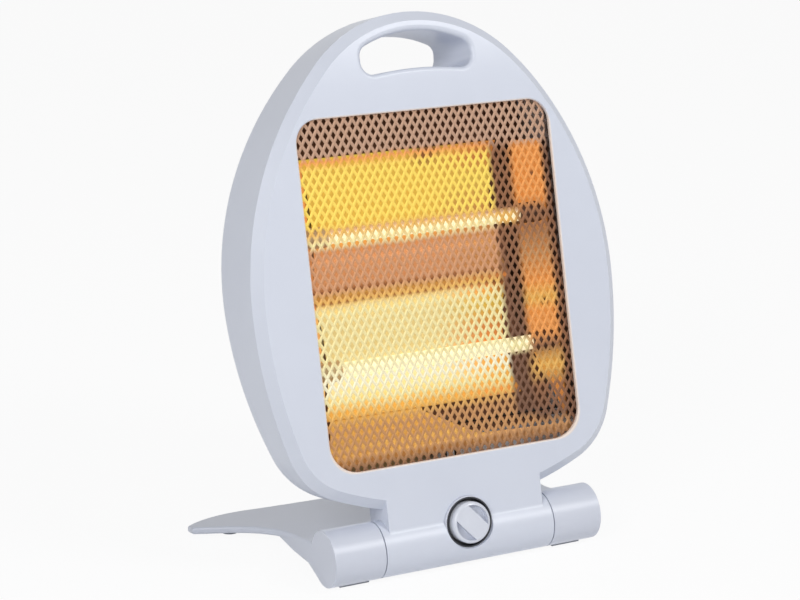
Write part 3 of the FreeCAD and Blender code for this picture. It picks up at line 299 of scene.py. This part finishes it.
def banded(name, look):
    # Sheet metal by the tubes: temper colours and painted light and shade lie in level bands over
    # rolling streaks, zone by zone
    material, tree, shader, where = startFinish(name, {"Metallic": look["metal"]})
    raised = addNode(tree, "Mapping", {"Vector": where, **standUp}).outputs[0]
    split = addNode(tree, "SeparateXYZ", {"Vector": raised}).outputs
    wander = addNode(tree, "TexNoise", {
        "Vector": raised, "Scale": 1 / (look["cloud"] * mm), "Detail": bandingAndGlow["cloudDetail"]})
    stray = addNode(tree, "MapRange", {
        "Value": wander.outputs["Fac"], "To Min": -look["stray"] * mm,
        "To Max": look["stray"] * mm}).outputs[0]
    height = addNode(tree, "Math", {0: split["Z"], 1: stray}, operation="ADD").outputs[0]
    colour, glow = None, None
    for zone in look["zones"]:
        bands = temperAndLightBands(tree, height, zone["bands"])
        if colour is None:
            colour, glow = bands, zone["glow"]
            continue
        # Each later zone takes over from the one before it along its axis
        axis, begin, full = zone["across"]
        reach = addNode(tree, "Math", {0: split[axis], 1: stray}, operation="ADD")
        share = addNode(tree, "MapRange", {
            "Value": reach.outputs[0], "From Min": begin * mm, "From Max": full * mm},
            interpolation_type="SMOOTHSTEP").outputs[0]
        colour = addNode(tree, "Mix", {"Factor": share, colourA: colour, colourB: bands},
                         data_type="RGBA").outputs[colourOut]
        glow = addNode(tree, "Mix", {
            "Factor": share, numberA: glow, numberB: zone["glow"]}).outputs[numberOut]
    for spot in look.get("stains", []):
        apart = addNode(tree, "VectorMath", {0: raised, 1: Vector(spot["at"]) * mm},
                        operation="DISTANCE")
        blot = addNode(tree, "MapRange", {
            "Value": apart.outputs["Value"], "From Min": spot["core"] * mm,
            "From Max": spot["reach"] * mm, "To Min": 1.0, "To Max": 0.0},
            interpolation_type="SMOOTHSTEP")
        colour = addNode(tree, "Mix", {
            "Factor": blot.outputs[0], colourA: colour, colourB: linear(temperAndPaintedLight[spot["colour"]])},
            data_type="RGBA").outputs[colourOut]
    # Painted glow: the sheet gives off some light itself, standing for the tubes' light on it, up to
    # the level where the lit part ends
    top = addNode(tree, "MapRange", {
        "Value": split["Z"], "From Min": look["glowTop"] * mm,
        "From Max": (look["glowTop"] + bandingAndGlow["glowFade"]) * mm, "To Min": 1.0, "To Max": 0.0})
    power = addNode(tree, "Math", {0: glow, 1: top.outputs[0]}, operation="MULTIPLY")
    feedShader(tree, shader, {
        "Base Color": colour, "Emission Color": colour, "Emission Strength": power.outputs[0],
        **rollMarks(tree, raised, look)})
    return material


# Satin ABS, very pale blue-grey white with broad soft highlights
satinAbs = {"pale": "#DADFEB", "deep": "#D2D7E4", "rough": 0.36, "cloud": 60, "grain": 0.9,
            "bump": 0.12}

# The front shell's window: its edge, with a painted glow, and the ledge behind the mesh, with painted
# shade. "warm" and "ledge" say how far beyond the corner's radius each tint is still full and
# where it ends.
windowEdge = {"halfWide": 92.8, "low": 54.5, "high": 283.4, "corner": 17.5, "warm": (0.2, 1.4),
              "colour": "#F0E2D8", "inside": -15.6, "insideFade": 1, "ledge": (4, 5),
              "ledgeShade": "#4A3428"}

# Unglazed steatite: chalky, with fine specks
steatite = {"rough": 0.55, "ior": 1.6, "speck": 1.2, "cloud": 6, "bump": 0.25}

finishes = {
    "shell": moulded("satinAbsShell", satinAbs),
    # The same ABS, with a painted glow round the window and painted shade behind the mesh
    "front": moulded("satinAbsFront", {**satinAbs, "reveal": windowEdge}),
    # Satin ABS of the foot, a shade greyer than the shells
    "foot": moulded("satinAbsFoot", {
        "pale": "#D6DAE6", "deep": "#CED3E0", "rough": 0.35, "cloud": 60, "grain": 0.9,
        "bump": 0.12}),
    # Smooth ABS with a tighter shine than the shells
    "knob": moulded("glossAbsKnob", {
        "pale": "#DEE2EC", "deep": "#D5D9E5", "rough": 0.22, "cloud": 18, "grain": 0.8,
        "bump": 0.06}),
    # Satin ABS ring, with painted shade in the well where the knob stands
    "bezel": moulded("satinAbsBezel", {
        "pale": "#D4D8E4", "deep": "#CACEDB", "rough": 0.36, "cloud": 18, "grain": 0.8,
        "bump": 0.12,
        "shadeWell": {"colour": "#2A2C34", "axisHigh": 9.7, "rimFrom": 16.7, "fade": 0.2}}),
    # Black nylon of the switches, the terminal block and the gland, dull and even
    "nylon": moulded("blackNylon", {
        "pale": "#2A2A2D", "deep": "#1C1C1F", "rough": 0.5, "cloud": 15, "grain": 0.7,
        "bump": 0.2}),
    # Expanded sheet steel, browned by the heat, with painted light and shade: straw and cream before the
    # lit reflector and tubes, dark before the shaded parts, and a faint painted glow
    "mesh": banded("heatTintedMeshWithPaintedLight", {
        "zones": [
            {"glow": 0.11, "bands": {
                54: "umber", 64: "bronze", 84: "bronze", 92: "amber", 100: "straw", 112: "cream",
                126: "straw", 160: "straw", 166: "amber", 174: "rose", 198: "rose", 203: "straw",
                210: "amber", 216: "gold", 250: "gold", 256: "orange", 260: "taupe",
                288: "taupe"}},
            {"across": ("X", 43, 49), "glow": 0.05, "bands": {
                54: "umber", 64: "bronze", 70: "bronze", 76: "umber", 114: "umber", 118: "straw",
                123: "straw", 127: "umber", 200: "brown", 204: "amber", 209: "amber",
                213: "brown", 252: "brown", 260: "taupe", 288: "taupe"}},
            {"across": ("X", 57, 66), "glow": 0.1, "bands": {
                54: "umber", 64: "bronze", 72: "umber", 92: "brown", 104: "amber", 118: "brown",
                128: "orange", 142: "orange", 150: "amber", 162: "orange", 180: "bronze",
                198: "brown", 208: "brown", 220: "orange", 252: "orange", 258: "taupe",
                288: "taupe"}},
            {"across": ("X", 84, 89), "glow": 0.05, "bands": {
                54: "umber", 120: "brown", 170: "brown", 250: "umber", 260: "taupe",
                288: "taupe"}},
            {"across": ("X", 90, 91.5), "glow": 0.0, "bands": {
                54: "soot", 76: "umber", 150: "umber", 190: "soot", 288: "soot"}}],
        "metal": 0.5, "rough": 0.45, "cloud": 25, "stray": 2, "streak": (1.0, 1.0, 0.2),
        "bump": 0.2, "glowTop": 255}),
    # Bright rolled aluminium, stained by the heat in level bands, with painted light and shade in the
    # same bands, pale by the tubes, rose and brown where shade falls, and a painted glow
    "reflector": banded("stainedAluminiumWithPaintedLight", {
        "zones": [
            {"glow": 0.3, "bands": {
                58: "bronze", 66: "amber", 93: "amber", 100: "straw", 112: "cream", 126: "straw",
                161: "straw", 164: "brown", 168: "amber", 171: "brown", 176: "rose", 196: "rose",
                204: "amber", 216: "gold", 258: "gold"}},
            {"across": ("X", 5, 52), "glow": 0.36, "bands": {
                58: "bronze", 84: "bronze", 90: "orange", 96: "amber", 110: "amber",
                124: "orange", 134: "orange", 150: "gold", 160: "orange", 164: "brown",
                168: "orange", 171: "brown", 176: "bronze", 206: "bronze", 218: "amber",
                236: "gold", 248: "orange", 258: "orange"}}],
        "stains": [{"at": (10, 8, 258), "core": 3, "reach": 17, "colour": "brown"}],
        "metal": 0.7, "rough": 0.2, "cloud": 45, "stray": 2, "streak": (0.03, 1.0, 1.0),
        "bump": 0.1, "glowTop": 270}),
    # Sheet steel beside the tube ends, tempered to amber and orange, with painted light and a painted
    # glow in its bands, darker by the tube caps, and painted shade, near black, at its front and back edges
    "endPlate": banded("bronzedSteelWithPaintedLight", {
        "zones": [
            {"glow": 0.0, "bands": {60: "soot", 250: "soot"}},
            {"across": ("Y", -8, -5), "glow": 0.45, "bands": {
                60: "brown", 86: "orange", 104: "amber", 118: "bronze", 140: "orange",
                150: "amber", 160: "orange", 196: "bronze", 210: "orange", 256: "orange"}},
            {"across": ("Y", 10, 14), "glow": 0.0, "bands": {60: "soot", 250: "soot"}}],
        "stains": [{"at": (86, 0, 233), "core": 1, "reach": 4, "colour": "brown"},
                   {"at": (86, 0, 146), "core": 1, "reach": 4, "colour": "soot"}],
        "metal": 0.6, "rough": 0.34, "cloud": 30, "stray": 2, "streak": (1.0, 1.0, 0.05),
        "bump": 0.15, "glowTop": 270}),
    # Dark umber sheet steel behind the reflector, dull, with a faint painted glow except at its top
    "shield": banded("umberSteelWithPaintedGlow", {
        "zones": [{"glow": 0.2, "bands": {60: "umber", 250: "umber"}}],
        "metal": 0.6, "rough": 0.6, "cloud": 40, "stray": 2, "streak": (0.05, 1.0, 1.0),
        "bump": 0.2, "glowTop": 200}),
    # Galvanised sheet of the clips, the posts and the tip-over bracket: grey, streaked by the rolls
    "sheet": rolled("galvanisedSteel", {
        "pale": "#B4B2AC", "deep": "#98968F", "rough": 0.38, "cloud": 12,
        "streak": (0.1, 1.0, 1.0), "bump": 0.15}),
    # Zinc plate on the screws, bolts and other small steel parts: brighter, a little cloudy
    "zinc": rolled("zincPlate", {
        "pale": "#C4C6C8", "deep": "#A6A8AC", "rough": 0.3, "cloud": 8,
        "streak": (1.0, 1.0, 1.0), "bump": 0.1}),
    # Turned brass of the terminal studs: yellow, with marks from the lathe
    "brass": rolled("turnedBrass", {
        "pale": "#D8B468", "deep": "#BC9448", "rough": 0.28, "cloud": 8,
        "streak": (1.0, 0.2, 0.2), "bump": 0.1}),
    # Satin quartz: milky glass that spreads the light of the coil inside it
    "quartz": glowing("litSatinQuartz", {
        "pale": "#FFF6E0", "deep": "#F6E6C4", "rough": 0.3, "bright": 66, "dark": 88,
        "crown": 209.5, "ripple": 12, "hot": "#FFF2C4", "cool": "#C08040", "power": 0.75,
        "endPower": 0.4}),
    # Resistance wire at full heat: yellow in the middle, redder towards its ends
    "coil": glowing("litResistanceWire", {
        "pale": "#8C6040", "deep": "#6A4630", "rough": 0.5, "bright": 60, "dark": 80,
        "crown": 230, "ripple": 3, "hot": "#FFD060", "cool": "#D05010", "power": 3.0,
        "endPower": 0.5}),
    # Steatite tube ends: cream, and a dark brown copy with painted shade for the ends at the other side,
    # which lie in shade
    "ceramic": speckled("firedSteatite", {"pale": "#FFF2D0", "deep": "#F2DEB4", **steatite}),
    "shadedCeramic": speckled("shadedSteatite", {
        "pale": "#8C6444", "deep": "#5C4030", **steatite}),
    # Moulded rubber of the pads, matt and near the foot's own colour
    "padRubber": speckled("paleFootRubber", {
        "pale": "#C6CAD4", "deep": "#B4B8C2", "rough": 0.7, "ior": 1.52, "speck": 0.8, "cloud": 5,
        "bump": 0.3}),
    # Silicone sleeves of the inner leads, dark and matt
    "sleeve": speckled("siliconeSleeve", {
        "pale": "#3A322C", "deep": "#28221E", "rough": 0.6, "ior": 1.43, "speck": 0.9, "cloud": 6,
        "bump": 0.2}),
}

slotFinish = {
    "shell_white": "shell", "foot_grey": "foot", "knob_plastic": "knob", "bezel_plastic": "bezel",
    "grille_wire": "mesh", "reflector_sheet": "reflector", "sheet_steel": "sheet",
    "quartz": "quartz", "heating_wire": "coil", "ceramic": "ceramic", "brass": "brass",
    "fastener_steel": "zinc", "switch_plastic": "nylon", "wire_insulation": "sleeve",
    "rubber": "padRubber",
}
ownFinish = {
    "front_shell": "front", "heat_shield": "shield", "left_end_plate": "endPlate",
    "right_end_plate": "endPlate", "upper_right_ceramic_cap": "shadedCeramic",
    "lower_right_ceramic_cap": "shadedCeramic",
}


def dress(piece, finish):
    piece.data.materials.clear()
    piece.data.materials.append(finishes[finish])


for subpart in frame["record"]["subparts"]:
    name = subpart["node"]
    dress(nodes[name], ownFinish.get(name, slotFinish[subpart["material_slot"]]))
print("finishes on the CAD nodes:", len(finishes))


def keepPiece(name, bm, finish, body, replaced):
    data = bpy.data.meshes.new(name)
    bm.to_mesh(data)
    bm.free()
    piece = bpy.data.objects.new(name, data)
    bpy.context.scene.collection.objects.link(piece)
    dress(piece, finish)
    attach(piece, body)
    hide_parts(*replaced)


# Expanded mesh behind the window: upright lozenges cut from one sheet
mesh = {
    "halfWide": 96.8 * mm, "low": 50.5 * mm, "high": 287.4 * mm, "front": -16.5 * mm,
    "thick": 0.8 * mm, "cellWide": 5.7 * mm, "cellHigh": 9.4 * mm, "strand": 2.1 * mm,
    "cornerCut": 7.8 * mm,
}


def meshEdges():
    # A point on each of the sheet's eight sides, with the direction that leads off the sheet
    wide, low, high = mesh["halfWide"], mesh["low"], mesh["high"]
    edges = [(Vector((wide, 0, 0)), Vector((1, 0, 0))), (Vector((-wide, 0, 0)), Vector((-1, 0, 0))),
             (Vector((0, 0, high)), Vector((0, 0, 1))), (Vector((0, 0, low)), Vector((0, 0, -1)))]
    for side in (-1, 1):
        for end, level in ((-1, low), (1, high)):
            outward = Vector((side, 0, end)).normalized()
            corner = Vector((side * wide, 0, level))
            edges.append((corner - outward * mesh["cornerCut"], outward))
    return edges


def meshGrille():
    bm = bmesh.new()
    middle = (mesh["low"] + mesh["high"]) / 2
    halfHigh = (mesh["high"] - mesh["low"]) / 2
    depth = mesh["front"] + mesh["thick"] / 2
    diagonal = math.sqrt(2)
    lozenge = (mesh["cellWide"] / diagonal, mesh["cellHigh"] / diagonal, 1)
    cells = 2 * math.ceil(mesh["halfWide"] / mesh["cellWide"] + halfHigh / mesh["cellHigh"])
    bmesh.ops.create_grid(bm, x_segments=cells, y_segments=cells, size=cells / 2)
    bmesh.ops.rotate(bm, verts=bm.verts, matrix=Matrix.Rotation(math.radians(45), 3, "Z"))
    bmesh.ops.scale(bm, verts=bm.verts, vec=lozenge)
    bmesh.ops.rotate(bm, verts=bm.verts, matrix=Matrix.Rotation(math.radians(90), 3, "X"))
    bmesh.ops.translate(bm, verts=bm.verts, vec=(0, depth, middle))
    for point, outward in meshEdges():
        bmesh.ops.bisect_plane(bm, geom=bm.verts[:] + bm.edges[:] + bm.faces[:], plane_co=point,
                               plane_no=outward, clear_outer=True)
    bmesh.ops.wireframe(bm, faces=bm.faces[:], thickness=mesh["strand"], use_replace=True,
                        use_boundary=True, use_even_offset=True)
    # The strands are as wide as the cut, and as deep as the sheet
    for vert in bm.verts:
        vert.co.y = depth + (vert.co.y - depth) * mesh["thick"] / mesh["strand"]
    bmesh.ops.transform(bm, matrix=lean, verts=bm.verts)
    keepPiece("expanded_mesh", bm, "mesh", "housing", ["grille"])


meshGrille()
print("mesh grille made")

# Stage: a pale floor that keeps the shadow, and a world that looks white but lights softly
stage = {"whiteShare": 0.93, "floorHalf": 6.0, "floorColour": "#F4F5F7", "worldLight": 0.24}
white = (1, 1, 1, 1)


def plainlySeen(tree):
    # One for what is seen, straight, mirrored or through glass, and nought for what lights
    path = addNode(tree, "LightPath", {}).outputs
    seen = addNode(tree, "Math", {0: path["Is Camera Ray"], 1: path["Is Glossy Ray"]},
                   operation="ADD")
    through = addNode(tree, "Math", {0: seen.outputs[0], 1: path["Is Transmission Ray"]},
                      operation="ADD", use_clamp=True)
    return through.outputs[0]


def paleFloor():
    bm = bmesh.new()
    bmesh.ops.create_grid(bm, x_segments=1, y_segments=1, size=stage["floorHalf"])
    data = bpy.data.meshes.new("floor")
    bm.to_mesh(data)
    bm.free()
    floor = bpy.data.objects.new("floor", data)
    bpy.context.scene.collection.objects.link(floor)
    material = bpy.data.materials.new("paleFloor")
    material.use_nodes = True
    tree = material.node_tree
    tree.nodes.remove(tree.nodes["Principled BSDF"])
    part = addNode(tree, "Math", {0: plainlySeen(tree), 1: stage["whiteShare"]},
                   operation="MULTIPLY")
    matt = addNode(tree, "BsdfDiffuse", {"Color": linear(stage["floorColour"])})
    bright = addNode(tree, "Emission", {"Color": white, "Strength": 1.0})
    both = addNode(tree, "MixShader", {
        "Fac": part.outputs[0], 1: matt.outputs[0], 2: bright.outputs[0]})
    tree.links.new(both.outputs[0], tree.nodes["Material Output"].inputs["Surface"])
    data.materials.append(material)


def paleWorld():
    world = bpy.data.worlds.new("studio")
    bpy.context.scene.world = world
    world.use_nodes = True
    tree = world.node_tree
    level = addNode(tree, "MapRange", {
        "Value": plainlySeen(tree), "To Min": stage["worldLight"], "To Max": 1.0})
    sky = tree.nodes["Background"]
    sky.inputs["Color"].default_value = white
    tree.links.new(level.outputs[0], sky.inputs["Strength"])


def facing(start, target):
    return (Vector(target) - Vector(start)).to_track_quat("-Z", "Y").to_euler()


# Soft boxes: where they stand, how wide they are, their power, and the point that they all face
lamps = {
    "keyBox": {"at": (1.07, -1.6, 1.74), "size": 0.75, "watts": 21},
    "fillBox": {"at": (-1.5, -1.25, 1.2), "size": 1.0, "watts": 20.5},
    "topBox": {"at": (0.1, 0.3, 1.8), "size": 1.0, "watts": 0.8},
}
lampAim = (0, 0, 0.17)


def softBoxes():
    for name, lamp in lamps.items():
        light = bpy.data.lights.new(name, "AREA")
        light.size = lamp["size"]
        light.energy = lamp["watts"]
        holder = bpy.data.objects.new(name, light)
        holder.location = lamp["at"]
        holder.rotation_euler = facing(lamp["at"], lampAim)
        bpy.context.scene.collection.objects.link(holder)


# The photograph's standpoint and aim, measured from the hinge axis
view = {"at": (-0.6774, -1.2519, 0.5643), "aim": (-0.0253, 0.0372, 0.1562), "lens": 102.6,
        "sensor": 36}


def photoCamera():
    camera = bpy.data.cameras.new("photoCamera")
    camera.lens = view["lens"]
    camera.sensor_width = view["sensor"]
    holder = bpy.data.objects.new("photoCamera", camera)
    holder.location = Vector(tilt["pos_m"]) + Vector(view["at"])
    holder.rotation_euler = facing(view["at"], view["aim"])
    bpy.context.scene.collection.objects.link(holder)
    bpy.context.scene.camera = holder


paleFloor()
paleWorld()
softBoxes()
photoCamera()
bpy.context.scene.view_settings.view_transform = "Standard"
print("stage, lamps and camera set")
